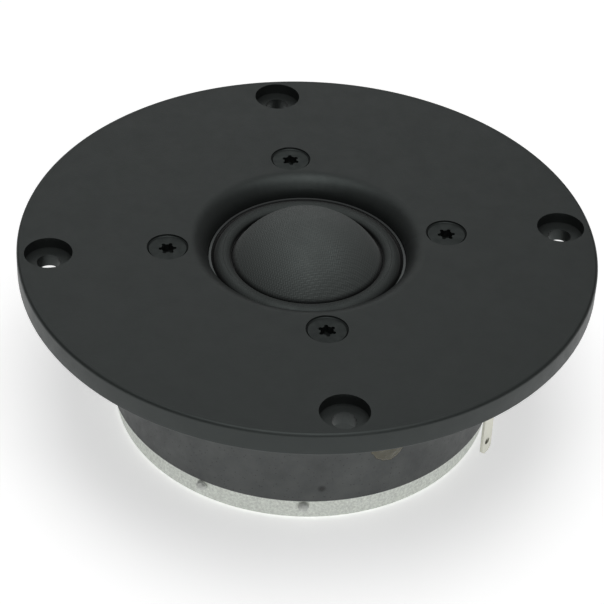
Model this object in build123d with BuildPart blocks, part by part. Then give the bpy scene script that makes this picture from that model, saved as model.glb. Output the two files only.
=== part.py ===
from build123d import *
import os
from math import cos, radians, sin, sqrt

# Soft-dome tweeter, millimetres. The origin is on the axis at the flange's rear seating face,
# +Z points out of the dome and +X passes through one mounting hole.

os.makedirs("parts", exist_ok=True)

# Flange and rear boss
flange_radius = 52.0
flange_thickness = 4.5
rim_fillet = 0.6
rear_rim_fillet = 0.4
boss_radius = 36.8
boss_depth = 6.0
skirt_inner_radius = 35.1
skirt_depth = 10.8
opening_radius = 17.95
lip_fillet = 3.6
pocket_radius = 22.6
relief_inner_radius = 28.8
relief_outer_radius = 32.2
relief_depth = 4.0
rib_width = 5.0
rib_angles = (0, 45, 90, 135)

# Mounting holes in the flange
mount_circle_radius = 46.4
mount_hole_count = 4
mount_hole_radius = 2.1
mount_counterbore_radius = 4.3
mount_counterbore_depth = 2.1

# Faceplate screws, M4 class with a 90 degree head and a six-lobe socket
screw_circle_radius = 25.25
screw_count = 4
screw_clearance_radius = 2.15
screw_recess_radius = 3.72
screw_sink = 0.35
screw_countersink_angle = 90
screw_shank_radius = 1.95
screw_head_radius = 3.35
screw_end_z = -10.5
socket_depth = 1.5
socket_core_radius = 1.15
socket_lobe_radius = 0.36
socket_lobe_circle = 1.25
socket_lobe_count = 6

# Diaphragm assembly
gasket_thickness = 0.3
gasket_inner_radius = 18.1
ring_outer_radius = 22.3
ring_rim_radius = 17.8
ring_ledge_radius = 17.4
ring_bore_radius = 16.5
ring_skirt_radius = 20.2
ring_web_z = -2.0
ring_rim_z = 0.75
foot_bottom_z = 0.3
fabric_thickness = 0.35
dome_foot_inner_radius = 12.7
dome_foot_outer_radius = 13.7
dome_edge_radius = 13.45
dome_height = 7.8
roll_center_radius = 15.25
roll_radius = 1.75
roll_crest_z = 1.5
former_inner_radius = 12.7
former_outer_radius = 13.0
former_bottom_z = -10.3
winding_outer_radius = 13.4
winding_top_z = -7.0
winding_bottom_z = -10.0

# Magnet system
top_plate_radius = 35.0
top_plate_thickness = 5.0
gap_outer_radius = 13.9
thread_radius = 2.0
plate_chamfer = 0.5
magnet_radius = 36.0
magnet_bore_radius = 16.0
magnet_chamfer = 0.7
glue_thickness = 0.2
glue_inner_radius = 17.5
glue_outer_radius = 34.0
back_plate_radius = 35.0
back_plate_top_z = -26.7
back_plate_bottom_z = -31.0
pole_radius = 11.9
pole_spigot_radius = 7.0
pole_vent_radius = 4.5
pole_vent_bottom_z = -22.0
cap_thickness = 0.3
cap_skirt_z = -12.0
felt_pad_thickness = 1.5
felt_pad_inner_radius = 4.8
felt_pad_outer_radius = 11.7
vent_felt_top_z = -8.0

# Terminals
terminal_angle = -45.0
block_inner_radius = 31.0
block_outer_radius = 43.6
block_width = 9.0
block_gap = 0.1
ear_wall = 1.7
ear_fillet = 1.5
collar_inner_radius = 39.0
collar_width = 6.4
collar_bottom_z = -9.0
lug_inner_radius = 40.85
lug_thickness = 0.5
lug_width = 2.8
lug_shoulder_width = 4.0
lug_shoulder_z = -10.5
lug_top_z = -0.8
lug_tip_z = -22.8
lug_tip_chamfer = 0.8
lug_hole_radius = 0.65
lug_hole_height = 2.7
channel_width = 2.0
channel_top_z = -4.0
lead_z = -5.0
lead_radius = 0.35
lead_start_radius = 18.5
lead_end_radius = 39.6
solder_small_radius = 0.5
solder_large_radius = 0.95
leadout_radius = 0.12
leadout_clearance = 0.02
leadout_rise = 4.0
leadout_loop_top = (14.8, -1.9)
leadout_loop_outer = (16.4, -2.9)
leadout_loop_tangents = ((0, 1), (1, -0.2))

# Glue left on the outside of the magnet system
drip_angle = -73.2
drip_half_width = 4.1
drip_half_height = 5.7
drip_center_z = -13.0
drip_top_z = -11.4
drip_thickness = 0.5
drip_cut_inner_radius = 30.0
drip_cut_depth = 10.0
bead_radius = 1.1
bead_center_z = -27.9
bead_angles = (-127.8, -96.8)

block_pocket_length = block_outer_radius + block_gap - block_inner_radius
block_pocket_width = block_width + 2 * block_gap
block_pocket_center = block_inner_radius + block_pocket_length / 2
ear_width = block_pocket_width + 2 * ear_wall
ear_length = block_pocket_length + ear_wall
ear_center = block_inner_radius + ear_length / 2
foot_top_z = foot_bottom_z + fabric_thickness
cut_margin = 50.0
roll_center_z = roll_crest_z - roll_radius
top_plate_top_z = -boss_depth
top_plate_bottom_z = top_plate_top_z - top_plate_thickness
cap_top_z = top_plate_top_z + cap_thickness
terminal_x_dir = (cos(radians(terminal_angle)), sin(radians(terminal_angle)), 0)
terminal_plane = Plane(origin=(0, 0, 0), x_dir=terminal_x_dir, z_dir=(0, 0, 1))
terminal_section = Plane(origin=(0, 0, 0), x_dir=terminal_x_dir,
                         z_dir=(sin(radians(terminal_angle)), -cos(radians(terminal_angle)), 0))


# Faceplate: flange, boss, rounded waveguide lip, counterbored and countersunk holes
with BuildPart() as faceplate:
    with BuildSketch():
        Circle(flange_radius)
    extrude(amount=flange_thickness)
    with BuildSketch():
        Circle(boss_radius)
    extrude(amount=-boss_depth)
    with BuildSketch():
        Circle(boss_radius)
        Circle(skirt_inner_radius, mode=Mode.SUBTRACT)
    extrude(amount=-skirt_depth)
    with BuildSketch(terminal_plane):
        with Locations((ear_center, 0), (-ear_center, 0)):
            RectangleRounded(ear_length, ear_width, ear_fillet)
    extrude(amount=-boss_depth)
    with BuildSketch(Plane.XY.offset(flange_thickness)):
        Circle(opening_radius)
    extrude(amount=-(flange_thickness + boss_depth), mode=Mode.SUBTRACT)
    with BuildSketch():
        Circle(pocket_radius)
    extrude(amount=-boss_depth, mode=Mode.SUBTRACT)
    front_edges = faceplate.edges().filter_by(GeomType.CIRCLE).group_by(Axis.Z)[-1].sort_by(SortBy.RADIUS)
    fillet(front_edges[0], radius=lip_fillet)
    fillet(faceplate.edges().filter_by(GeomType.CIRCLE).group_by(Axis.Z)[-1].sort_by(SortBy.RADIUS)[-1],
           radius=rim_fillet)
    seat_edges = faceplate.edges().filter_by(GeomType.CIRCLE).filter_by_position(Axis.Z, -0.01, 0.01)
    fillet(seat_edges.sort_by(SortBy.RADIUS)[-1], radius=rear_rim_fillet)
    with Locations(Plane.XY.offset(flange_thickness)):
        with PolarLocations(mount_circle_radius, mount_hole_count):
            CounterBoreHole(mount_hole_radius, mount_counterbore_radius, mount_counterbore_depth,
                            depth=flange_thickness)
    with BuildSketch(Plane.XY.offset(flange_thickness)):
        with PolarLocations(screw_circle_radius, screw_count):
            Circle(screw_recess_radius)
    extrude(amount=-screw_sink, mode=Mode.SUBTRACT)
    with Locations(Plane.XY.offset(flange_thickness - screw_sink)):
        with PolarLocations(screw_circle_radius, screw_count):
            CounterSinkHole(screw_clearance_radius, screw_recess_radius,
                            depth=flange_thickness + boss_depth, counter_sink_angle=screw_countersink_angle)
    with BuildSketch(Plane.XY.offset(-boss_depth)):
        Circle(relief_outer_radius)
        Circle(relief_inner_radius, mode=Mode.SUBTRACT)
        for rib_angle in rib_angles:
            Rectangle(2 * flange_radius, rib_width, rotation=rib_angle, mode=Mode.SUBTRACT)
    extrude(amount=relief_depth, mode=Mode.SUBTRACT)
    with BuildSketch(terminal_plane):
        with Locations((block_pocket_center, 0), (-block_pocket_center, 0)):
            Rectangle(block_pocket_length, block_pocket_width)
    extrude(amount=-boss_depth, mode=Mode.SUBTRACT)
    with BuildSketch(terminal_plane.offset(-boss_depth)):
        Rectangle(2 * boss_radius, channel_width)
    extrude(amount=channel_top_z + boss_depth, mode=Mode.SUBTRACT)
faceplate.part.label = "faceplate"
export_step(faceplate.part, "parts/faceplate.step")


# Four identical faceplate screws with a short cylindrical land above the cone
head_top_z = flange_thickness - screw_sink
head_land = screw_recess_radius - screw_head_radius
cone_height = screw_head_radius - screw_shank_radius
with BuildPart() as single_screw:
    with BuildSketch(Plane.XZ):
        with BuildLine():
            Polyline(
                (0, screw_end_z),
                (screw_shank_radius, screw_end_z),
                (screw_shank_radius, head_top_z - head_land - cone_height),
                (screw_head_radius, head_top_z - head_land),
                (screw_head_radius, head_top_z),
                (0, head_top_z),
                close=True,
            )
        make_face()
    revolve(axis=Axis.Z)
    with BuildSketch(Plane.XY.offset(head_top_z)):
        Circle(socket_core_radius)
        with PolarLocations(socket_lobe_circle, socket_lobe_count):
            Circle(socket_lobe_radius)
    extrude(amount=-socket_depth, mode=Mode.SUBTRACT)

with BuildPart() as faceplate_screws:
    with PolarLocations(screw_circle_radius, screw_count):
        add(single_screw.part)
faceplate_screws.part.label = "faceplate_screws"
export_step(faceplate_screws.part, "parts/faceplate_screws.step")


# Foam gasket between the faceplate and the diaphragm ring
with BuildPart() as diaphragm_gasket:
    with BuildSketch():
        Circle(ring_outer_radius)
        Circle(gasket_inner_radius, mode=Mode.SUBTRACT)
    extrude(amount=-gasket_thickness)
diaphragm_gasket.part.label = "diaphragm_gasket"
export_step(diaphragm_gasket.part, "parts/diaphragm_gasket.step")


# Moulded ring that carries the surround and stands on the top plate
with BuildPart() as diaphragm_ring:
    with BuildSketch(Plane.XZ) as ring_profile:
        with BuildLine():
            Polyline(
                (ring_bore_radius, ring_web_z),
                (ring_bore_radius, foot_bottom_z),
                (ring_ledge_radius, foot_bottom_z),
                (ring_ledge_radius, ring_rim_z),
                (ring_rim_radius, ring_rim_z),
                (ring_rim_radius, -gasket_thickness),
                (ring_outer_radius, -gasket_thickness),
                (ring_outer_radius, top_plate_top_z),
                (ring_skirt_radius, top_plate_top_z),
                (ring_skirt_radius, ring_web_z),
                close=True,
            )
        make_face()
    revolve(axis=Axis.Z)
    with BuildSketch(terminal_plane.offset(top_plate_top_z)):
        Rectangle(2 * pocket_radius, channel_width)
    extrude(amount=channel_top_z - top_plate_top_z, mode=Mode.SUBTRACT)
diaphragm_ring.part.label = "diaphragm_ring"
export_step(diaphragm_ring.part, "parts/diaphragm_ring.step")


# Shallow roll surround from the dome's edge to the ring's ledge
with BuildPart() as surround:
    with BuildSketch(Plane.XZ):
        with Locations((roll_center_radius, roll_center_z)):
            Circle(roll_radius)
            Circle(roll_radius - fabric_thickness, mode=Mode.SUBTRACT)
        with Locations((roll_center_radius, foot_bottom_z)):
            Rectangle(cut_margin, cut_margin, align=(Align.CENTER, Align.MAX), mode=Mode.SUBTRACT)
        with Locations((dome_foot_outer_radius, foot_bottom_z)):
            Rectangle(cut_margin, cut_margin, align=(Align.MAX, Align.CENTER), mode=Mode.SUBTRACT)
        with Locations((ring_ledge_radius, foot_bottom_z)):
            Rectangle(ring_ledge_radius - ring_bore_radius, fabric_thickness, align=(Align.MAX, Align.MIN))
    revolve(axis=Axis.Z)
surround.part.label = "surround"
export_step(surround.part, "parts/surround.step")


# Fabric dome: a spherical cap with a flat foot that sits on the coil former
sphere_radius = (dome_edge_radius ** 2 + dome_height ** 2) / (2 * dome_height)
sphere_center_z = foot_top_z + dome_height - sphere_radius
with BuildPart() as dome:
    with BuildSketch(Plane.XZ):
        with Locations((0, sphere_center_z)):
            Circle(sphere_radius)
            Circle(sphere_radius - fabric_thickness, mode=Mode.SUBTRACT)
        with Locations((0, foot_top_z)):
            Rectangle(cut_margin, cut_margin, align=(Align.CENTER, Align.MAX), mode=Mode.SUBTRACT)
            Rectangle(cut_margin, cut_margin, align=(Align.MAX, Align.CENTER), mode=Mode.SUBTRACT)
        with Locations((dome_foot_inner_radius, foot_bottom_z)):
            Rectangle(dome_foot_outer_radius - dome_foot_inner_radius, fabric_thickness,
                      align=(Align.MIN, Align.MIN))
    revolve(axis=Axis.Z)
dome.part.label = "dome"
export_step(dome.part, "parts/dome.step")


# Coil former: a thin tube glued under the dome's foot
with BuildPart() as coil_former:
    with BuildSketch(Plane.XY.offset(former_bottom_z)):
        Circle(former_outer_radius)
        Circle(former_inner_radius, mode=Mode.SUBTRACT)
    extrude(amount=foot_bottom_z - former_bottom_z)
coil_former.part.label = "coil_former"
export_step(coil_former.part, "parts/coil_former.step")


# Voice coil winding, as one solid band of wire
with BuildPart() as coil_winding:
    with BuildSketch(Plane.XY.offset(winding_bottom_z)):
        Circle(winding_outer_radius)
        Circle(former_outer_radius, mode=Mode.SUBTRACT)
    extrude(amount=winding_top_z - winding_bottom_z)
coil_winding.part.label = "coil_winding"
export_step(coil_winding.part, "parts/coil_winding.step")


# Two fine lead-outs that run up the former, loop outwards and meet the lead wires
leadout_former_radius = former_outer_radius + leadout_radius + leadout_clearance
with BuildPart() as single_leadout:
    with BuildLine(terminal_section):
        riser = Line((leadout_former_radius, winding_top_z + leadout_clearance),
                     (leadout_former_radius, winding_top_z + leadout_rise))
        Spline((leadout_former_radius, winding_top_z + leadout_rise), leadout_loop_top, leadout_loop_outer,
               (lead_start_radius, lead_z), tangents=leadout_loop_tangents)
    with BuildSketch(Plane(origin=riser @ 0, z_dir=(0, 0, 1))):
        Circle(leadout_radius)
    sweep()

with BuildPart() as coil_leadouts:
    with PolarLocations(0, 2):
        add(single_leadout.part)
coil_leadouts.part.label = "coil_leadouts"
export_step(coil_leadouts.part, "parts/coil_leadouts.step")


# Lead wires from the ring to the terminals, along the channels under the boss
lead_plane = Plane(origin=(0, 0, lead_z), x_dir=(0, 0, 1), z_dir=terminal_x_dir)
with BuildPart() as lead_wire_plus:
    with BuildSketch(lead_plane.offset(lead_start_radius)):
        Circle(lead_radius)
    extrude(amount=lead_end_radius - lead_start_radius)
lead_wire_plus.part.label = "lead_wire_plus"
export_step(lead_wire_plus.part, "parts/lead_wire_plus.step")

with BuildPart() as lead_wire_minus:
    add(lead_wire_plus.part.rotate(Axis.Z, 180))
lead_wire_minus.part.label = "lead_wire_minus"
export_step(lead_wire_minus.part, "parts/lead_wire_minus.step")


# Solder joints between the lead wires and the lugs
with BuildPart() as solder_joint_plus:
    with BuildSketch(lead_plane.offset(lead_end_radius)):
        Circle(solder_small_radius)
    with BuildSketch(lead_plane.offset(lug_inner_radius)):
        Circle(solder_large_radius)
    loft()
solder_joint_plus.part.label = "solder_joint_plus"
export_step(solder_joint_plus.part, "parts/solder_joint_plus.step")

with BuildPart() as solder_joint_minus:
    add(solder_joint_plus.part.rotate(Axis.Z, 180))
solder_joint_minus.part.label = "solder_joint_minus"
export_step(solder_joint_minus.part, "parts/solder_joint_minus.step")


# Insulating blocks that hold the terminal lugs in notches of the boss
with BuildPart() as terminal_block_plus:
    with BuildSketch(terminal_plane):
        with Locations((block_inner_radius, 0)):
            Rectangle(block_outer_radius - block_inner_radius, block_width, align=(Align.MIN, Align.CENTER))
    extrude(amount=-boss_depth)
    with BuildSketch(terminal_plane.offset(-boss_depth)):
        with Locations((collar_inner_radius, 0)):
            Rectangle(block_outer_radius - collar_inner_radius, collar_width, align=(Align.MIN, Align.CENTER))
    extrude(amount=collar_bottom_z + boss_depth)
    with BuildSketch(terminal_plane.offset(lug_top_z)):
        with Locations((lug_inner_radius, 0)):
            Rectangle(lug_thickness, lug_shoulder_width, align=(Align.MIN, Align.CENTER))
    extrude(amount=collar_bottom_z - lug_top_z, mode=Mode.SUBTRACT)
    with BuildSketch(terminal_plane.offset(-boss_depth)):
        with Locations((block_inner_radius, 0)):
            Rectangle(lug_inner_radius - block_inner_radius, channel_width, align=(Align.MIN, Align.CENTER))
    extrude(amount=channel_top_z + boss_depth, mode=Mode.SUBTRACT)
terminal_block_plus.part.label = "terminal_block_plus"
export_step(terminal_block_plus.part, "parts/terminal_block_plus.step")

with BuildPart() as terminal_block_minus:
    add(terminal_block_plus.part.rotate(Axis.Z, 180))
terminal_block_minus.part.label = "terminal_block_minus"
export_step(terminal_block_minus.part, "parts/terminal_block_minus.step")


# Tinned lugs: a shouldered flat tab with a chamfered tip and a wire hole
lug_plane = Plane(origin=(0, 0, 0), x_dir=(-terminal_x_dir[1], terminal_x_dir[0], 0), z_dir=terminal_x_dir)
with BuildPart() as terminal_lug_plus:
    with BuildSketch(lug_plane.offset(lug_inner_radius)):
        with BuildLine():
            Polyline(
                (-lug_shoulder_width / 2, lug_top_z),
                (-lug_shoulder_width / 2, lug_shoulder_z),
                (-lug_width / 2, lug_shoulder_z),
                (-lug_width / 2, lug_tip_z + lug_tip_chamfer),
                (-lug_width / 2 + lug_tip_chamfer, lug_tip_z),
                (lug_width / 2 - lug_tip_chamfer, lug_tip_z),
                (lug_width / 2, lug_tip_z + lug_tip_chamfer),
                (lug_width / 2, lug_shoulder_z),
                (lug_shoulder_width / 2, lug_shoulder_z),
                (lug_shoulder_width / 2, lug_top_z),
                close=True,
            )
        make_face()
        with Locations((0, lug_tip_z + lug_hole_height)):
            Circle(lug_hole_radius, mode=Mode.SUBTRACT)
    extrude(amount=lug_thickness)
terminal_lug_plus.part.label = "terminal_lug_plus"
export_step(terminal_lug_plus.part, "parts/terminal_lug_plus.step")

with BuildPart() as terminal_lug_minus:
    add(terminal_lug_plus.part.rotate(Axis.Z, 180))
terminal_lug_minus.part.label = "terminal_lug_minus"
export_step(terminal_lug_minus.part, "parts/terminal_lug_minus.step")


# Steel top plate with the magnetic gap and four tapped holes
with BuildPart() as top_plate:
    with BuildSketch(Plane.XY.offset(top_plate_bottom_z)):
        Circle(top_plate_radius)
        Circle(gap_outer_radius, mode=Mode.SUBTRACT)
    extrude(amount=top_plate_thickness)
    chamfer(top_plate.edges().filter_by(GeomType.CIRCLE).sort_by(SortBy.RADIUS)[-2:], length=plate_chamfer)
    with Locations(Plane.XY.offset(top_plate_top_z)):
        with PolarLocations(screw_circle_radius, screw_count):
            Hole(thread_radius)
top_plate.part.label = "top_plate"
export_step(top_plate.part, "parts/top_plate.step")


# Ferrite ring magnet between two thin layers of glue
with BuildPart() as front_glue_ring:
    with BuildSketch(Plane.XY.offset(top_plate_bottom_z)):
        Circle(glue_outer_radius)
        Circle(glue_inner_radius, mode=Mode.SUBTRACT)
    extrude(amount=-glue_thickness)
front_glue_ring.part.label = "front_glue_ring"
export_step(front_glue_ring.part, "parts/front_glue_ring.step")

with BuildPart() as rear_glue_ring:
    with BuildSketch(Plane.XY.offset(back_plate_top_z)):
        Circle(glue_outer_radius)
        Circle(glue_inner_radius, mode=Mode.SUBTRACT)
    extrude(amount=glue_thickness)
rear_glue_ring.part.label = "rear_glue_ring"
export_step(rear_glue_ring.part, "parts/rear_glue_ring.step")

magnet_bottom_z = back_plate_top_z + glue_thickness
magnet_top_z = top_plate_bottom_z - glue_thickness
with BuildPart() as magnet_ring:
    with BuildSketch(Plane.XY.offset(magnet_bottom_z)):
        Circle(magnet_radius)
        Circle(magnet_bore_radius, mode=Mode.SUBTRACT)
    extrude(amount=magnet_top_z - magnet_bottom_z)
    chamfer(magnet_ring.edges().filter_by(GeomType.CIRCLE).sort_by(SortBy.RADIUS)[-2:], length=magnet_chamfer)
magnet_ring.part.label = "magnet_ring"
export_step(magnet_ring.part, "parts/magnet_ring.step")


# Steel back plate and the vented pole pressed into it
with BuildPart() as back_plate:
    with BuildSketch(Plane.XY.offset(back_plate_bottom_z)):
        Circle(back_plate_radius)
        Circle(pole_spigot_radius, mode=Mode.SUBTRACT)
    extrude(amount=back_plate_top_z - back_plate_bottom_z)
    rim_edges = back_plate.edges().filter_by(GeomType.CIRCLE).sort_by(SortBy.RADIUS)[-2:]
    chamfer(rim_edges.sort_by(Axis.Z)[0], length=plate_chamfer)
back_plate.part.label = "back_plate"
export_step(back_plate.part, "parts/back_plate.step")

with BuildPart() as pole_piece:
    with BuildSketch(Plane.XY.offset(back_plate_bottom_z)):
        Circle(pole_spigot_radius)
    extrude(amount=back_plate_top_z - back_plate_bottom_z)
    with BuildSketch(Plane.XY.offset(back_plate_top_z)):
        Circle(pole_radius)
    extrude(amount=top_plate_top_z - back_plate_top_z)
    with BuildSketch(Plane.XY.offset(pole_vent_bottom_z)):
        Circle(pole_vent_radius)
    extrude(amount=top_plate_top_z - pole_vent_bottom_z, mode=Mode.SUBTRACT)
pole_piece.part.label = "pole_piece"
export_step(pole_piece.part, "parts/pole_piece.step")


# Copper cap over the pole, with the vent left open
with BuildPart() as copper_cap:
    with BuildSketch(Plane.XY.offset(top_plate_top_z)):
        Circle(pole_radius + cap_thickness)
        Circle(pole_vent_radius, mode=Mode.SUBTRACT)
    extrude(amount=cap_thickness)
    with BuildSketch(Plane.XY.offset(top_plate_top_z)):
        Circle(pole_radius + cap_thickness)
        Circle(pole_radius, mode=Mode.SUBTRACT)
    extrude(amount=cap_skirt_z - top_plate_top_z)
copper_cap.part.label = "copper_cap"
export_step(copper_cap.part, "parts/copper_cap.step")


# Damping felts on the pole and in its vent
with BuildPart() as pole_felt_pad:
    with BuildSketch(Plane.XY.offset(cap_top_z)):
        Circle(felt_pad_outer_radius)
        Circle(felt_pad_inner_radius, mode=Mode.SUBTRACT)
    extrude(amount=felt_pad_thickness)
pole_felt_pad.part.label = "pole_felt_pad"
export_step(pole_felt_pad.part, "parts/pole_felt_pad.step")

with BuildPart() as vent_felt_plug:
    with BuildSketch(Plane.XY.offset(pole_vent_bottom_z)):
        Circle(pole_vent_radius)
    extrude(amount=vent_felt_top_z - pole_vent_bottom_z)
vent_felt_plug.part.label = "vent_felt_plug"
export_step(vent_felt_plug.part, "parts/vent_felt_plug.step")


# A run of glue down the magnet's side and two beads squeezed out above the back plate
drip_x_dir = (-sin(radians(drip_angle)), cos(radians(drip_angle)), 0)
drip_z_dir = (cos(radians(drip_angle)), sin(radians(drip_angle)), 0)
drip_plane = Plane(origin=(0, 0, drip_center_z), x_dir=drip_x_dir, z_dir=drip_z_dir)
with BuildPart() as glue_drip:
    with BuildSketch(Plane.XY.offset(drip_center_z - drip_half_height)):
        Circle(magnet_radius + drip_thickness)
        Circle(magnet_radius, mode=Mode.SUBTRACT)
    extrude(amount=drip_top_z - drip_center_z + drip_half_height)
    with BuildSketch(drip_plane.offset(drip_cut_inner_radius)):
        Ellipse(drip_half_width, drip_half_height)
    extrude(amount=drip_cut_depth, mode=Mode.INTERSECT)
glue_drip.part.label = "glue_drip"
export_step(glue_drip.part, "parts/glue_drip.step")

with BuildPart() as single_bead:
    with BuildSketch(Plane.XZ):
        Circle(bead_radius)
        Rectangle(2 * bead_radius, 2 * bead_radius, align=(Align.CENTER, Align.MAX), mode=Mode.SUBTRACT)
        Rectangle(2 * bead_radius, 2 * bead_radius, align=(Align.MAX, Align.CENTER), mode=Mode.SUBTRACT)
    revolve(axis=Axis.X)

with BuildPart() as glue_beads:
    for bead_angle in bead_angles:
        bead_x = back_plate_radius * cos(radians(bead_angle))
        bead_y = back_plate_radius * sin(radians(bead_angle))
        with Locations(Location((bead_x, bead_y, bead_center_z), (0, 0, bead_angle))):
            add(single_bead.part)
glue_beads.part.label = "glue_beads"
export_step(glue_beads.part, "parts/glue_beads.step")
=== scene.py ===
"""Looks for a soft dome tweeter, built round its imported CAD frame."""

import math

import bmesh
import bpy
from mathutils import Matrix, Vector, noise


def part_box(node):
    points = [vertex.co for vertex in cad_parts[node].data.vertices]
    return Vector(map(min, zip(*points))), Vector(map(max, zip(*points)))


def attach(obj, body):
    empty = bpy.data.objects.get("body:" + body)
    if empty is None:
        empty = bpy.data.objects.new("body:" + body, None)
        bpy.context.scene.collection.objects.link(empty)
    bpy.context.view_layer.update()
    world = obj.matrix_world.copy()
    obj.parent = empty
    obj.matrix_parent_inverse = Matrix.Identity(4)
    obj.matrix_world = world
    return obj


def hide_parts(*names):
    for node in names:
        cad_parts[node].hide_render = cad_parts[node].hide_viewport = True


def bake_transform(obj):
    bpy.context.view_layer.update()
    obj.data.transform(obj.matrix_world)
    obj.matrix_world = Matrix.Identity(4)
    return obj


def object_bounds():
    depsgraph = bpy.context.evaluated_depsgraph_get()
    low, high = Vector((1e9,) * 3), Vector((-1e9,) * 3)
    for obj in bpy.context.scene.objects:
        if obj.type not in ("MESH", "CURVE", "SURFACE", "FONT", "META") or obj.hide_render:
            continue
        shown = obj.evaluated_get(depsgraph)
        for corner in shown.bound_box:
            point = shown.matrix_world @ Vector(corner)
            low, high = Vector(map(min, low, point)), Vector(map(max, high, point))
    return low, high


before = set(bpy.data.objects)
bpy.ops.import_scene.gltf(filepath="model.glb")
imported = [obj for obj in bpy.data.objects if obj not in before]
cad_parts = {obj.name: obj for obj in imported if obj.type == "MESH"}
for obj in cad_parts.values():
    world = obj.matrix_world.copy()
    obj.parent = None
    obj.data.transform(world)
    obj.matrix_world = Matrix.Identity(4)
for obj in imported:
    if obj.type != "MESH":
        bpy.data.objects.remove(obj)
MM = 0.001
FRAME_BODY = "tweeter_frame"
MOVING_BODY = "moving_assembly"
size_before = [list(corner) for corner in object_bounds()]

# ---------------------------------------------------------------- camera
CAMERA_AZIMUTH = math.radians(-8.98)
CAMERA_ELEVATION = math.radians(38.86)
CAMERA_ROLL = math.radians(2.61)
CAMERA_DISTANCE = 394.8 * MM
CAMERA_LENS = 131.1
TARGET_HEIGHT = 4.5 * MM
TARGET_RIGHT = -1.09 * MM
TARGET_UP = -11.19 * MM
SENSOR_WIDTH = 36
NEAREST_SEEN = 0.02
FARTHEST_SEEN = 20


def make_camera():
    """A long lens at the photographed viewing angle, aimed a little below the flange's front face."""
    right = Vector((math.cos(CAMERA_AZIMUTH), math.sin(CAMERA_AZIMUTH), 0))
    back = Vector((
        math.sin(CAMERA_AZIMUTH) * math.cos(CAMERA_ELEVATION),
        -math.cos(CAMERA_AZIMUTH) * math.cos(CAMERA_ELEVATION),
        math.sin(CAMERA_ELEVATION),
    ))
    up = back.cross(right)
    rolled_right = right * math.cos(CAMERA_ROLL) + up * math.sin(CAMERA_ROLL)
    rolled_up = up * math.cos(CAMERA_ROLL) - right * math.sin(CAMERA_ROLL)
    target = Vector((0, 0, TARGET_HEIGHT)) + rolled_right * TARGET_RIGHT + rolled_up * TARGET_UP
    camera = bpy.data.objects.new("camera", bpy.data.cameras.new("camera"))
    camera.data.lens = CAMERA_LENS
    camera.data.sensor_width = SENSOR_WIDTH
    camera.data.clip_start = NEAREST_SEEN
    camera.data.clip_end = FARTHEST_SEEN
    axes = Matrix((rolled_right, rolled_up, back)).transposed().to_4x4()
    camera.matrix_world = Matrix.Translation(target + back * CAMERA_DISTANCE) @ axes
    bpy.context.scene.collection.objects.link(camera)
    bpy.context.scene.camera = camera


make_camera()


# ---------------------------------------------------------------- materials
WAVE_LENGTH = math.pi / 10  # one band of a wave texture at scale 1
COOL_SHEEN = (0.88, 1.0, 0.97)


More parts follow.
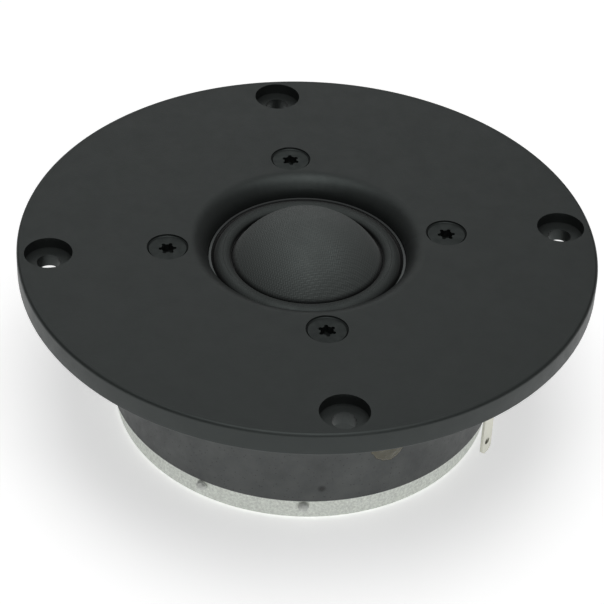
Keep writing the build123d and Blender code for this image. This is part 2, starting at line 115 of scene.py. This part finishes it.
class Nodes:
    """A small helper round one material's node tree."""

    def __init__(self, name):
        self.material = bpy.data.materials.new(name)
        self.material.use_nodes = True
        self.tree = self.material.node_tree
        self.tree.nodes.clear()
        self.output = self.tree.nodes.new("ShaderNodeOutputMaterial")
        self.shader = self.tree.nodes.new("ShaderNodeBsdfPrincipled")
        self.link(self.shader.outputs[0], self.output.inputs["Surface"])
        self.where = self.tree.nodes.new("ShaderNodeTexCoord").outputs["Object"]
        self.bumps = []

    def link(self, source, target):
        self.tree.links.new(source, target)

    def set(self, **values):
        for key, value in values.items():
            socket = self.shader.inputs[key.replace("_", " ").title().replace("Ior", "IOR")]
            socket.default_value = (*value, 1) if isinstance(value, tuple) else value

    def mapped(self, scale=(1, 1, 1), turn=(0, 0, 0)):
        node = self.tree.nodes.new("ShaderNodeMapping")
        node.inputs["Scale"].default_value = scale
        node.inputs["Rotation"].default_value = turn
        self.link(self.where, node.inputs["Vector"])
        return node.outputs[0]

    def radius(self, unit):
        """Distance from the part's axis, in units of the given length."""
        node = self.tree.nodes.new("ShaderNodeVectorMath")
        node.operation = "LENGTH"
        self.link(self.mapped(scale=(1 / unit, 1 / unit, 0)), node.inputs[0])
        return node.outputs["Value"]

    def closeness(self, point, reach):
        """1 at a point of the part, fading to 0 at the given distance from it."""
        node = self.tree.nodes.new("ShaderNodeVectorMath")
        node.operation = "DISTANCE"
        node.inputs[1].default_value = point
        self.link(self.where, node.inputs[0])
        return self.ramp(self.math("DIVIDE", node.outputs["Value"], 2 * reach), ((0.2, 1.0), (0.5, 0.0)))

    def noise(self, size, detail=4.0, rough=0.55, scale=(1, 1, 1), stretch=0.0):
        node = self.tree.nodes.new("ShaderNodeTexNoise")
        node.inputs["Scale"].default_value = 1 / size
        node.inputs["Detail"].default_value = detail
        node.inputs["Roughness"].default_value = rough
        node.inputs["Distortion"].default_value = stretch
        self.link(self.mapped(scale), node.inputs["Vector"])
        return node.outputs["Fac"]

    def cells(self, size):
        node = self.tree.nodes.new("ShaderNodeTexVoronoi")
        node.inputs["Scale"].default_value = 1 / size
        self.link(self.where, node.inputs["Vector"])
        return node.outputs["Distance"]

    def waves(self, pitch, axis, turn=(0, 0, 0)):
        node = self.tree.nodes.new("ShaderNodeTexWave")
        node.bands_direction = axis
        node.inputs["Scale"].default_value = WAVE_LENGTH / pitch
        self.link(self.mapped(turn=turn), node.inputs["Vector"])
        return node.outputs["Fac"]

    def ramp(self, source, stops):
        node = self.tree.nodes.new("ShaderNodeValToRGB")
        ramp = node.color_ramp
        while len(ramp.elements) < len(stops):
            ramp.elements.new(0.5)
        for element, (place, value) in zip(ramp.elements, stops):
            element.position = place
            element.color = (*value, 1) if isinstance(value, tuple) else (value, value, value, 1)
        self.link(source, node.inputs[0])
        return node.outputs[0]

    def math(self, operation, first, second):
        node = self.tree.nodes.new("ShaderNodeMath")
        node.operation = operation
        for socket, value in zip(node.inputs, (first, second)):
            if isinstance(value, (int, float)):
                socket.default_value = value
            else:
                self.link(value, socket)
        return node.outputs[0]

    def mix(self, factor, first, second):
        node = self.tree.nodes.new("ShaderNodeMix")
        node.data_type = "RGBA"
        for index, value in ((0, factor), (6, first), (7, second)):
            if isinstance(value, (int, float)):
                node.inputs[index].default_value = value
            elif isinstance(value, tuple):
                node.inputs[index].default_value = (*value, 1)
            else:
                self.link(value, node.inputs[index])
        return node.outputs[2]

    def feed(self, name, source):
        self.link(source, self.shader.inputs[name])

    def bump(self, height, depth):
        node = self.tree.nodes.new("ShaderNodeBump")
        node.inputs["Distance"].default_value = depth
        self.link(height, node.inputs["Height"])
        if self.bumps:
            self.link(self.bumps[-1], node.inputs["Normal"])
        self.bumps.append(node.outputs[0])
        self.link(node.outputs[0], self.shader.inputs["Normal"])


def plain_plastic(name, color, roughness, grain=0.24 * MM, depth=0.02 * MM):
    """Moulded plastic: a fine spark-eroded grain, a faint larger unevenness and handling marks."""
    n = Nodes(name)
    darker = tuple(c * 0.8 for c in color)
    n.feed("Base Color", n.mix(n.noise(6 * MM, 5), darker, color))
    handled = n.noise(3 * MM, 6, 0.65)
    n.feed("Roughness", n.ramp(handled, ((0.25, roughness - 0.06), (0.8, roughness + 0.07))))
    n.set(specular_tint=COOL_SHEEN)
    n.bump(n.noise(grain, 3, 0.6), depth)
    n.bump(n.noise(9 * MM, 2), 0.02 * MM)
    return n.material


def black_oxide(name):
    """Blackened screw steel with worn, slightly browner patches."""
    n = Nodes(name)
    n.set(metallic=0.6, specular_tint=COOL_SHEEN)
    browned = ((0.35, (0.012, 0.0135, 0.0132)), (0.75, (0.031, 0.034, 0.033)))
    n.feed("Base Color", n.ramp(n.noise(1.2 * MM, 5), browned))
    n.feed("Roughness", n.ramp(n.noise(0.6 * MM, 4), ((0.2, 0.32), (0.85, 0.5))))
    n.bump(n.noise(0.25 * MM, 3), 0.01 * MM)
    return n.material


WEAVE_PITCH = 0.38 * MM
WEAVE_TURN = math.radians(-4)
BAND_REACH = 20 * MM
# painted shade: radius stops where the cloth is darkened in the creases at the dome's edge and at the
# roll's foot by the ring
DOME_CREASE_SHADE_BANDS = ((12.9 * MM, 0.0), (13.35 * MM, 1.0))
ROLL_CREASE_SHADE_BANDS = ((13.85 * MM, 1.0), (14.15 * MM, 0.0), (16.5 * MM, 0.0), (16.85 * MM, 1.0))


def woven_fabric(name, color, weave_depth, crease_shade_bands):
    """Plain weave under a thin damping coat: crossed threads that pass over each other, and uneven coating.
    crease_shade_bands lists (radius, darkness) stops of painted shade, darkening the cloth in the creases
    at its edges."""
    n = Nodes(name)
    warp = n.waves(WEAVE_PITCH, "X", (0, 0, WEAVE_TURN))
    weft = n.waves(WEAVE_PITCH, "Y", (0, 0, WEAVE_TURN))
    over = n.waves(2 * WEAVE_PITCH, "DIAGONAL", (0, 0, WEAVE_TURN))
    threads = n.math("MAXIMUM", n.math("MULTIPLY", warp, over),
                     n.math("MULTIPLY", weft, n.math("SUBTRACT", 1.0, over)))
    patches = n.noise(4 * MM, 5, 0.6)
    light = tuple(c * 1.9 for c in color)
    cloth = n.mix(threads, color, light)
    # painted shade: the base colour and the specular level drop in the creases at those radii
    painted_crease_shade = n.ramp(n.radius(BAND_REACH), tuple((radius / BAND_REACH, dark) for radius, dark in crease_shade_bands))
    patchy = n.mix(n.math("MULTIPLY", patches, 0.5), cloth, color)
    n.feed("Base Color", n.mix(painted_crease_shade, patchy, tuple(c * 0.15 for c in color)))
    n.feed("Specular IOR Level", n.ramp(painted_crease_shade, ((0.0, 0.5), (1.0, 0.06))))
    n.feed("Roughness", n.ramp(patches, ((0.3, 0.5), (0.75, 0.68))))
    n.set(sheen_weight=0.12, sheen_roughness=0.4, specular_tint=COOL_SHEEN)
    n.bump(threads, weave_depth)
    n.bump(n.noise(0.3 * MM, 3), 0.01 * MM)
    n.bump(n.noise(5 * MM, 2), 0.05 * MM)
    return n.material


CHIP_PLACE = (-1.26 * MM, -35.98 * MM, -22.8 * MM)
CHIP_REACH = 0.9 * MM


def ferrite(name):
    """Sintered ferrite: dark slate grey, ground, with fine pits and dusty smears."""
    n = Nodes(name)
    tone = n.ramp(n.noise(7 * MM, 6, 0.6), ((0.3, (0.045, 0.05, 0.05)), (0.7, (0.085, 0.092, 0.09))))
    pits = n.cells(0.8 * MM)
    pitted = n.mix(n.ramp(pits, ((0.05, 1.0), (0.2, 0.0))), tone, (0.02, 0.022, 0.022))
    chip = n.closeness(CHIP_PLACE, CHIP_REACH)
    n.feed("Base Color", n.mix(chip, pitted, (0.012, 0.013, 0.013)))
    n.feed("Roughness", n.ramp(n.noise(2 * MM, 5), ((0.3, 0.42), (0.8, 0.62))))
    n.bump(n.noise(0.35 * MM, 5, 0.65), 0.03 * MM)
    n.bump(n.noise(3 * MM, 3, 0.5, scale=(1, 1, 0.2)), 0.04 * MM)
    return n.material


def zinc_plate(name, tint=(0.93, 0.97, 0.9), speckle=0.5 * MM):
    """Plated steel: pale, lightly spangled, with dull grey specks."""
    n = Nodes(name)
    n.set(metallic=0.35)
    dull = tuple(c * 0.72 for c in tint)
    specks = n.ramp(n.noise(speckle, 5, 0.7), ((0.38, 0.0), (0.66, 1.0)))
    n.feed("Base Color", n.mix(specks, dull, tint))
    n.feed("Roughness", n.ramp(n.noise(1.5 * MM, 5), ((0.25, 0.34), (0.8, 0.6))))
    n.bump(n.noise(0.5 * MM, 5, 0.65), 0.03 * MM)
    return n.material


def soft_metal(name, tint, roughness=0.3, marks=0.8 * MM):
    """Tin, solder, aluminium or copper with uneven flow and fine scratches."""
    n = Nodes(name)
    n.set(metallic=0.9)
    darker = tuple(c * 0.72 for c in tint)
    n.feed("Base Color", n.mix(n.noise(marks, 5, 0.6), darker, tint))
    n.feed("Roughness", n.ramp(n.noise(marks, 4), ((0.3, roughness), (0.8, roughness + 0.22))))
    n.bump(n.noise(marks, 3), 0.03 * MM)
    return n.material


def wound_wire(name):
    """Enamelled copper wire laid turn on turn."""
    n = Nodes(name)
    n.set(metallic=0.85, coat_weight=0.6, coat_roughness=0.15)
    turns = n.waves(0.12 * MM, "Z")
    n.feed("Base Color", n.mix(turns, (0.2, 0.06, 0.02), (0.72, 0.3, 0.12)))
    n.feed("Roughness", n.ramp(n.noise(1 * MM), ((0.3, 0.2), (0.8, 0.4))))
    n.bump(turns, 0.03 * MM)
    return n.material


def felt(name, color=(0.07, 0.07, 0.075)):
    """Pressed wool felt with loose fibres."""
    n = Nodes(name)
    fibres = n.noise(0.25 * MM, 6, 0.75, stretch=1.5)
    n.feed("Base Color", n.mix(fibres, tuple(c * 0.4 for c in color), color))
    n.feed("Roughness", n.ramp(fibres, ((0.2, 0.85), (0.9, 1.0))))
    n.set(sheen_weight=0.4)
    n.bump(fibres, 0.15 * MM)
    return n.material


def cured_glue(name, tint, gloss=0.12):
    """Cured adhesive: glossy, uneven in colour, with small bubbles."""
    n = Nodes(name)
    dark = tuple(c * 0.7 for c in tint)
    n.feed("Base Color", n.mix(n.noise(1.6 * MM, 4), dark, tint))
    n.feed("Roughness", n.ramp(n.noise(1 * MM, 4), ((0.3, gloss), (0.8, gloss + 0.22))))
    n.set(coat_weight=0.4)
    n.bump(n.cells(0.7 * MM), 0.01 * MM)
    n.bump(n.noise(1.5 * MM, 3), 0.04 * MM)
    return n.material


FLANGE_BLACK = (0.0125, 0.0135, 0.0132)
MATERIALS = {
    "faceplate": plain_plastic("moulded_black", FLANGE_BLACK, 0.47),
    "faceplate_screws": black_oxide("black_screw_steel"),
    "diaphragm_gasket": felt("gasket_foam", (0.03, 0.03, 0.03)),
    "diaphragm_ring": plain_plastic("ring_plastic", (0.06, 0.063, 0.063), 0.3),
    "coil_former": soft_metal("former_foil", (0.85, 0.85, 0.86), 0.25),
    "coil_winding": wound_wire("winding_copper"),
    "coil_leadouts": soft_metal("leadout_copper", (0.75, 0.36, 0.17), 0.25),
    "lead_wire_plus": plain_plastic("red_insulation", (0.4, 0.02, 0.015), 0.4),
    "lead_wire_minus": plain_plastic("black_insulation", (0.015, 0.015, 0.015), 0.4),
    "terminal_block_plus": plain_plastic("terminal_plastic", (0.016, 0.016, 0.017), 0.42),
    "terminal_lug_plus": soft_metal("tinned_tab", (0.83, 0.83, 0.73), 0.34),
    "solder_joint_plus": soft_metal("solder", (0.72, 0.72, 0.73), 0.22),
    "top_plate": zinc_plate("top_plate_zinc"),
    "front_glue_ring": cured_glue("amber_glue", (0.16, 0.1, 0.03)),
    "magnet_ring": ferrite("ferrite"),
    "back_plate": zinc_plate("back_plate_zinc"),
    "pole_piece": zinc_plate("pole_zinc", (0.68, 0.7, 0.66)),
    "copper_cap": soft_metal("copper", (0.85, 0.42, 0.26), 0.28),
    "pole_felt_pad": felt("pole_felt"),
}
SHARED = {
    "terminal_block_minus": "terminal_block_plus",
    "terminal_lug_minus": "terminal_lug_plus",
    "solder_joint_minus": "solder_joint_plus",
    "rear_glue_ring": "front_glue_ring",
    "vent_felt_plug": "pole_felt_pad",
}
DOME_CLOTH = woven_fabric("dome_cloth", (0.044, 0.048, 0.0465), 0.035 * MM, DOME_CREASE_SHADE_BANDS)
SURROUND_CLOTH = woven_fabric("surround_cloth", (0.016, 0.0175, 0.017), 0.015 * MM, ROLL_CREASE_SHADE_BANDS)
DRIP_GLUE = cured_glue("brown_glue", (0.075, 0.068, 0.032))
BEAD_GLUE = cured_glue("pale_glue", (0.9, 0.93, 0.88), gloss=0.5)


def dress(obj, material):
    obj.data.materials.clear()
    obj.data.materials.append(material)


WELD_DISTANCE = 0.001 * MM
SHARP_ANGLE = math.radians(24)


def shade_cleanly(obj):
    """Recomputes shading normals: fillet steps stay smooth, real edges crisp and flat faces flat."""
    weld = obj.modifiers.new("join_seams", "WELD")
    weld.merge_threshold = WELD_DISTANCE
    split = obj.modifiers.new("crisp_edges", "EDGE_SPLIT")
    split.split_angle = SHARP_ANGLE
    flatten = obj.modifiers.new("flat_faces", "WEIGHTED_NORMAL")
    flatten.weight = 100


for node_name, node_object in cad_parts.items():
    source = SHARED.get(node_name, node_name)
    if source in MATERIALS:
        dress(node_object, MATERIALS[source])
        shade_cleanly(node_object)


# ---------------------------------------------------------------- pieces
def add_mesh(name, points, faces, material, smooth=True):
    mesh = bpy.data.meshes.new(name)
    mesh.from_pydata(points, [], faces)
    mesh.update()
    obj = bpy.data.objects.new(name, mesh)
    bpy.context.scene.collection.objects.link(obj)
    mesh.polygons.foreach_set("use_smooth", [smooth] * len(mesh.polygons))
    dress(obj, material)
    return obj


def merge_points(obj):
    """Welds points that lie on top of one another and turns all faces outwards."""
    work = bmesh.new()
    work.from_mesh(obj.data)
    bmesh.ops.remove_doubles(work, verts=work.verts, dist=WELD_DISTANCE)
    bmesh.ops.recalc_face_normals(work, faces=work.faces)
    work.to_mesh(obj.data)
    work.free()


WOBBLE_PITCH = 6 * MM


def lathe(name, profile, segments, material, wobble=0.0):
    """Turns a closed (radius, height) profile about the axis; wobble is a slow unevenness of the height."""
    points = []
    for step in range(segments):
        angle = 2 * math.pi * step / segments
        for radius, height in profile:
            x = radius * math.cos(angle)
            y = radius * math.sin(angle)
            lift = wobble * noise.noise(Vector((x, y, 0)) / WOBBLE_PITCH)
            points.append((x, y, height + lift))
    count = len(profile)
    faces = []
    for step in range(segments):
        following = (step + 1) % segments
        for index in range(count):
            after = (index + 1) % count
            faces.append((step * count + index, following * count + index,
                          following * count + after, step * count + after))
    return add_mesh(name, points, faces, material)


def arc(center, radius, start, end, steps):
    """Points on a circular arc of the profile plane, both ends included."""
    return [
        (center[0] + radius * math.cos(start + (end - start) * i / steps),
         center[1] + radius * math.sin(start + (end - start) * i / steps))
        for i in range(steps + 1)
    ]


CLOTH = 0.2 * MM
FOOT_LIFT = 0.12 * MM
FOOT_OUTER = 17.38 * MM
ROLL_CENTER = 15.25 * MM
ROLL_RADIUS = 1.75 * MM
ROLL_INNER_EDGE = 13.74 * MM
FIT_GAP = 0.01 * MM
RING_SEGMENTS = 288
ROLL_STEPS = 18

surround_low, surround_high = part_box("surround")
foot_bottom = surround_low.z
foot_top = foot_bottom + FOOT_LIFT
crest = surround_high.z
roll_axis = (ROLL_CENTER, crest - ROLL_RADIUS)


def roll_angle(height, radius):
    """The angle above the roll's centre line at which an arc of this radius reaches a height."""
    return math.asin((height - roll_axis[1]) / radius)


def outer_half_profile():
    inside = ROLL_RADIUS - CLOTH
    base = foot_bottom + FIT_GAP
    top = arc(roll_axis, ROLL_RADIUS, math.pi / 2, roll_angle(foot_top, ROLL_RADIUS), ROLL_STEPS)
    under = arc(roll_axis, inside, roll_angle(base, inside), math.pi / 2, ROLL_STEPS)
    foot = [(FOOT_OUTER, foot_top), (FOOT_OUTER, base)]
    return top + foot + under


def inner_half_profile():
    inside = ROLL_RADIUS - CLOTH
    edge_angle = math.acos((ROLL_INNER_EDGE - ROLL_CENTER) / ROLL_RADIUS)
    top = arc(roll_axis, ROLL_RADIUS, edge_angle, math.pi / 2, ROLL_STEPS)
    inner_edge = math.acos((ROLL_INNER_EDGE - ROLL_CENTER) / inside)
    under = arc(roll_axis, inside, math.pi / 2, inner_edge, ROLL_STEPS)
    return top + under


def make_surround():
    """The roll in two halves that meet at the crest: the outer one carries the foot that sits on the ring
    and the inner one reaches in to the dome's edge."""
    outer = lathe("surround_outer_roll", outer_half_profile(), RING_SEGMENTS, SURROUND_CLOTH)
    inner = lathe("surround_inner_roll", inner_half_profile(), RING_SEGMENTS, SURROUND_CLOTH)
    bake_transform(outer)
    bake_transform(inner)
    for half in (outer, inner):
        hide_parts("surround")


DOME_EDGE = 13.45 * MM
DOME_FOOT_INNER = 12.72 * MM
DOME_FOOT_OUTER = 13.68 * MM
DOME_FOOT_STEP = 0.03 * MM
DOME_STEPS = 72
DOME_POLE = 0.02 * MM
DOME_WOBBLE = 0.05 * MM


def make_dome():
    """A cloth cap: a spherical shell with a small turned foot, and a little unevenness from forming."""
    low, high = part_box("dome")
    height = high.z - foot_top
    sphere = (DOME_EDGE ** 2 + height ** 2) / (2 * height)
    center = (0, high.z - sphere)
    edge_angle = math.asin((foot_top - center[1]) / sphere)
    glued_top = foot_bottom + DOME_FOOT_STEP
    top = arc(center, sphere, math.pi / 2, edge_angle, DOME_STEPS)
    under = arc(center, sphere - CLOTH, edge_angle, math.pi / 2, DOME_STEPS)
    foot = [(DOME_EDGE + CLOTH / 4, glued_top),
            (DOME_FOOT_OUTER, glued_top), (DOME_FOOT_OUTER, foot_bottom),
            (DOME_FOOT_INNER, foot_bottom), (DOME_FOOT_INNER, foot_top)]
    profile = [(max(radius, DOME_POLE), z) for radius, z in top + foot + under]
    dome = lathe("woven_dome", profile, RING_SEGMENTS, DOME_CLOTH, wobble=DOME_WOBBLE)
    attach(dome, MOVING_BODY)
    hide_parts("dome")


RIM_FILLET = 0.6 * MM
RIM_SKIN = 0.01 * MM
RIM_WIDTH = 1.0 * MM
RIM_DEPTH = 0.1 * MM
RIM_LOWEST = 0.6 * MM
RIM_HOLD = 0.02 * MM
RIM_STEPS = 12
RIM_SEGMENTS = 720


def make_rim():
    """A finely turned skin on the flange's rounded rim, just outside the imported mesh."""
    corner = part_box("faceplate")[1]
    edge = corner.x + RIM_SKIN
    top = corner.z + RIM_SKIN
    center = (corner.x - RIM_FILLET, corner.z - RIM_FILLET)
    start = corner.x - RIM_WIDTH
    profile = [(start, top), (start + RIM_HOLD, top)]
    profile += arc(center, RIM_FILLET + RIM_SKIN, math.pi / 2, 0, RIM_STEPS)
    profile += [(edge, RIM_LOWEST + RIM_HOLD), (edge, RIM_LOWEST), (edge - RIM_DEPTH, RIM_LOWEST),
                (edge - RIM_DEPTH, center[1]), (center[0], top - RIM_DEPTH), (start, top - RIM_DEPTH)]
    rim = lathe("flange_rim", profile, RIM_SEGMENTS, MATERIALS["faceplate"])
    merge_points(rim)
    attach(rim, FRAME_BODY)


MAGNET_RADIUS = 36.0 * MM
DRIP_ANGLE = math.radians(-73.2)
DRIP_HALF_WIDTH = 4.0 * MM
DRIP_THICKNESS = 0.42 * MM
DRIP_RINGS = 22
DRIP_SPOKES = 96
DRIP_CUT = 1.28  # how much of the full oval, in half heights, shows below the boss
DRIP_LUMP_PITCH = 1.3 * MM
BEAD_ANGLES = (math.radians(-127.8), math.radians(-96.8))
BEAD_CLEARANCE = 0.03 * MM
BEAD_RINGS = 24
BEAD_SPOKES = 40
BEAD_FULLNESS = 0.9
BEAD_SWELL, BEAD_SWELL_RATE = 0.2, 1.5
BEAD_FROTH, BEAD_FROTH_RATE = 0.16, 5
BEAD_SHIFT = 5  # moves the second bead to another part of the noise


LEADOUT_RADIUS = 0.12 * MM
LEADOUT_SIDES = 10
LEADOUT_STEPS = 14
LEADOUT_ANGLE = math.radians(-45)
LEADOUT_PATH = ((13.14 * MM, -6.98 * MM), (13.14 * MM, -5.0 * MM), (13.14 * MM, -3.0 * MM),
                (14.8 * MM, -1.9 * MM), (16.4 * MM, -2.9 * MM), (18.5 * MM, -5.0 * MM))


def smooth_path(knots, steps):
    """A Catmull-Rom curve through the (radius, height) knots."""
    knots = [Vector(knot) for knot in knots]
    padded = [2 * knots[0] - knots[1]] + knots + [2 * knots[-1] - knots[-2]]
    path = []
    for index in range(1, len(padded) - 2):
        before, start, end, after = padded[index - 1:index + 3]
        for step in range(steps):
            t = step / steps
            path.append(0.5 * (2 * start + (end - before) * t
                               + (2 * before - 5 * start + 4 * end - after) * t ** 2
                               + (3 * start - before - 3 * end + after) * t ** 3))
    return path + [knots[-1]]


def make_leadouts():
    """Two fine wires running from the coil former out to the lead wires."""
    path = smooth_path(LEADOUT_PATH, LEADOUT_STEPS)
    for name, angle in (("leadout_plus", LEADOUT_ANGLE), ("leadout_minus", LEADOUT_ANGLE + math.pi)):
        outward = Vector((math.cos(angle), math.sin(angle), 0))
        sideways = Vector((-outward.y, outward.x, 0))
        up = Vector((0, 0, 1))
        points = []
        for index, spot in enumerate(path):
            run = (path[min(index + 1, len(path) - 1)] - path[max(index - 1, 0)]).normalized()
            across = outward * -run.y + up * run.x
            for side in range(LEADOUT_SIDES):
                turn = 2 * math.pi * side / LEADOUT_SIDES
                points.append(outward * spot.x + up * spot.y
                              + (across * math.cos(turn) + sideways * math.sin(turn)) * LEADOUT_RADIUS)
        faces = [tuple(range(LEADOUT_SIDES)),
                 tuple(range((len(path) - 1) * LEADOUT_SIDES, len(path) * LEADOUT_SIDES))]
        for index in range(len(path) - 1):
            for side in range(LEADOUT_SIDES):
                after = (side + 1) % LEADOUT_SIDES
                faces.append((index * LEADOUT_SIDES + side, index * LEADOUT_SIDES + after,
                              (index + 1) * LEADOUT_SIDES + after, (index + 1) * LEADOUT_SIDES + side))
        wire = add_mesh(name, points, faces, MATERIALS["coil_leadouts"])
        merge_points(wire)
        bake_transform(wire)
        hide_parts("coil_leadouts")


def make_drip():
    """A thin uneven film of glue on the magnet's side, thickest near its lower edge."""
    low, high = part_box("glue_drip")
    half_height = (high.z - low.z) / DRIP_CUT
    middle = low.z + half_height
    points = []
    for side in (1, 0):
        for ring in range(DRIP_RINGS + 1):
            reach = ring / DRIP_RINGS
            for spoke in range(DRIP_SPOKES):
                turn = 2 * math.pi * spoke / DRIP_SPOKES
                ragged = 0.93 + 0.07 * noise.noise(Vector((3 * math.cos(turn), 3 * math.sin(turn), 1)))
                across = DRIP_HALF_WIDTH * ragged * reach * math.cos(turn)
                height = min(middle + half_height * ragged * reach * math.sin(turn), high.z)
                lumps = 0.75 + 0.45 * noise.noise(Vector((across, height, 0)) / DRIP_LUMP_PITCH)
                swell = 0.75 + 0.25 * (high.z - height) / (high.z - low.z)
                film = DRIP_THICKNESS * swell * lumps * math.sqrt(max(0.0, 1 - reach ** 2))
                radius = MAGNET_RADIUS + (min(film, DRIP_THICKNESS) if side else -FIT_GAP)
                angle = DRIP_ANGLE + across / MAGNET_RADIUS
                points.append((radius * math.cos(angle), radius * math.sin(angle), height))
    layer = (DRIP_RINGS + 1) * DRIP_SPOKES
    faces = []
    for spoke in range(DRIP_SPOKES):
        after = (spoke + 1) % DRIP_SPOKES
        for ring in range(DRIP_RINGS):
            a, b = ring * DRIP_SPOKES + spoke, ring * DRIP_SPOKES + after
            faces.append((a, a + DRIP_SPOKES, b + DRIP_SPOKES, b))
            faces.append((layer + a, layer + b, layer + b + DRIP_SPOKES, layer + a + DRIP_SPOKES))
        edge = DRIP_RINGS * DRIP_SPOKES
        faces.append((edge + spoke, layer + edge + spoke, layer + edge + after, edge + after))
    drip = add_mesh("glue_run", points, faces, DRIP_GLUE)
    merge_points(drip)
    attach(drip, FRAME_BODY)
    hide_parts("glue_drip")


def make_beads():
    """Two small frothy half-round lumps of pale glue on the back plate's side, just under the magnet."""
    low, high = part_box("glue_beads")
    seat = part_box("back_plate")[1].x + BEAD_CLEARANCE
    size = (high.z - low.z) / 2 - BEAD_CLEARANCE
    for number, bead_angle in enumerate(BEAD_ANGLES):
        outward = Vector((math.cos(bead_angle), math.sin(bead_angle), 0))
        sideways = Vector((-outward.y, outward.x, 0))
        center = outward * seat + Vector((0, 0, (low.z + high.z) / 2))
        points = []
        for ring in range(BEAD_RINGS + 1):
            tilt = math.pi * ring / BEAD_RINGS
            for spoke in range(BEAD_SPOKES):
                turn = 2 * math.pi * spoke / BEAD_SPOKES
                edge = Vector((0, math.cos(turn), math.sin(turn)))
                way = Vector((math.cos(tilt), math.sin(tilt) * edge.y, math.sin(tilt) * edge.z))
                place = (way if way.x > 0 else edge) + Vector((number * BEAD_SHIFT, 0, 0))
                lump = min(1, BEAD_FULLNESS + BEAD_SWELL * noise.noise(place * BEAD_SWELL_RATE)
                           + BEAD_FROTH * noise.noise(place * BEAD_FROTH_RATE))
                points.append(center + (outward * max(way.x, 0) + sideways * way.y
                                        + Vector((0, 0, way.z))) * lump * size)
        faces = []
        for ring in range(BEAD_RINGS):
            for spoke in range(BEAD_SPOKES):
                after = (spoke + 1) % BEAD_SPOKES
                faces.append((ring * BEAD_SPOKES + spoke, (ring + 1) * BEAD_SPOKES + spoke,
                              (ring + 1) * BEAD_SPOKES + after, ring * BEAD_SPOKES + after))
        bead = add_mesh(f"glue_bead_{number + 1}", points, faces, BEAD_GLUE)
        merge_points(bead)
        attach(bead, FRAME_BODY)
        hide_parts("glue_beads")


make_rim()
make_surround()
make_dome()
make_leadouts()
make_drip()
make_beads()

# ---------------------------------------------------------------- studio
FLOOR_SIZE = 6.0
FLOOR_GAP = 0.05 * MM
floor_height = size_before[0][2] - FLOOR_GAP


def make_floor():
    """White lit paper, seen only from above, so the part's underside can be looked at."""
    half = FLOOR_SIZE / 2
    corners = [(-half, -half, floor_height), (half, -half, floor_height), (half, half, floor_height),
               (-half, half, floor_height)]
    n = Nodes("floor_paper")
    n.feed("Base Color", n.mix(n.noise(300 * MM, 3), (0.86, 0.86, 0.86), (0.9, 0.9, 0.9)))
    n.set(roughness=0.9, emission_color=(1.0, 1.0, 1.0), emission_strength=0.5)
    see_through = n.tree.nodes.new("ShaderNodeBsdfTransparent")
    one_sided = n.tree.nodes.new("ShaderNodeMixShader")
    n.link(n.tree.nodes.new("ShaderNodeNewGeometry").outputs["Backfacing"], one_sided.inputs[0])
    n.link(n.shader.outputs[0], one_sided.inputs[1])
    n.link(see_through.outputs[0], one_sided.inputs[2])
    n.link(one_sided.outputs[0], n.output.inputs["Surface"])
    floor = add_mesh("floor", corners, [(0, 1, 2, 3)], n.material, smooth=False)


def area_light(name, place, aim, width, height, power):
    light = bpy.data.lights.new(name, "AREA")
    light.shape = "RECTANGLE"
    light.size = width
    light.size_y = height
    light.energy = power
    obj = bpy.data.objects.new(name, light)
    obj.location = place
    obj.rotation_euler = (Vector(aim) - Vector(place)).to_track_quat("-Z", "Y").to_euler()
    bpy.context.scene.collection.objects.link(obj)


WORLD_STRENGTH = 0.14
LIGHTS = (  # name, place, aim, width, height, power
    ("overhead", (0, -0.15, 0.9), (0, -0.15, 0), 0.6, 0.8, 4.2),
    ("back_card", (0, 1.5, 1.0), (0, 0, 0), 1.5, 1.4, 4.0),
    ("front_card", (0, -1.1, 0.75), (0, 0, 0), 1.0, 0.6, 2.0),
)


def make_studio():
    world = bpy.data.worlds.new("studio")
    world.use_nodes = True
    background = world.node_tree.nodes["Background"]
    background.inputs["Color"].default_value = (1, 1, 1, 1)
    background.inputs["Strength"].default_value = WORLD_STRENGTH
    bpy.context.scene.world = world
    for light in LIGHTS:
        area_light(*light)
    bpy.context.scene.view_settings.view_transform = "Standard"


make_floor()
make_studio()
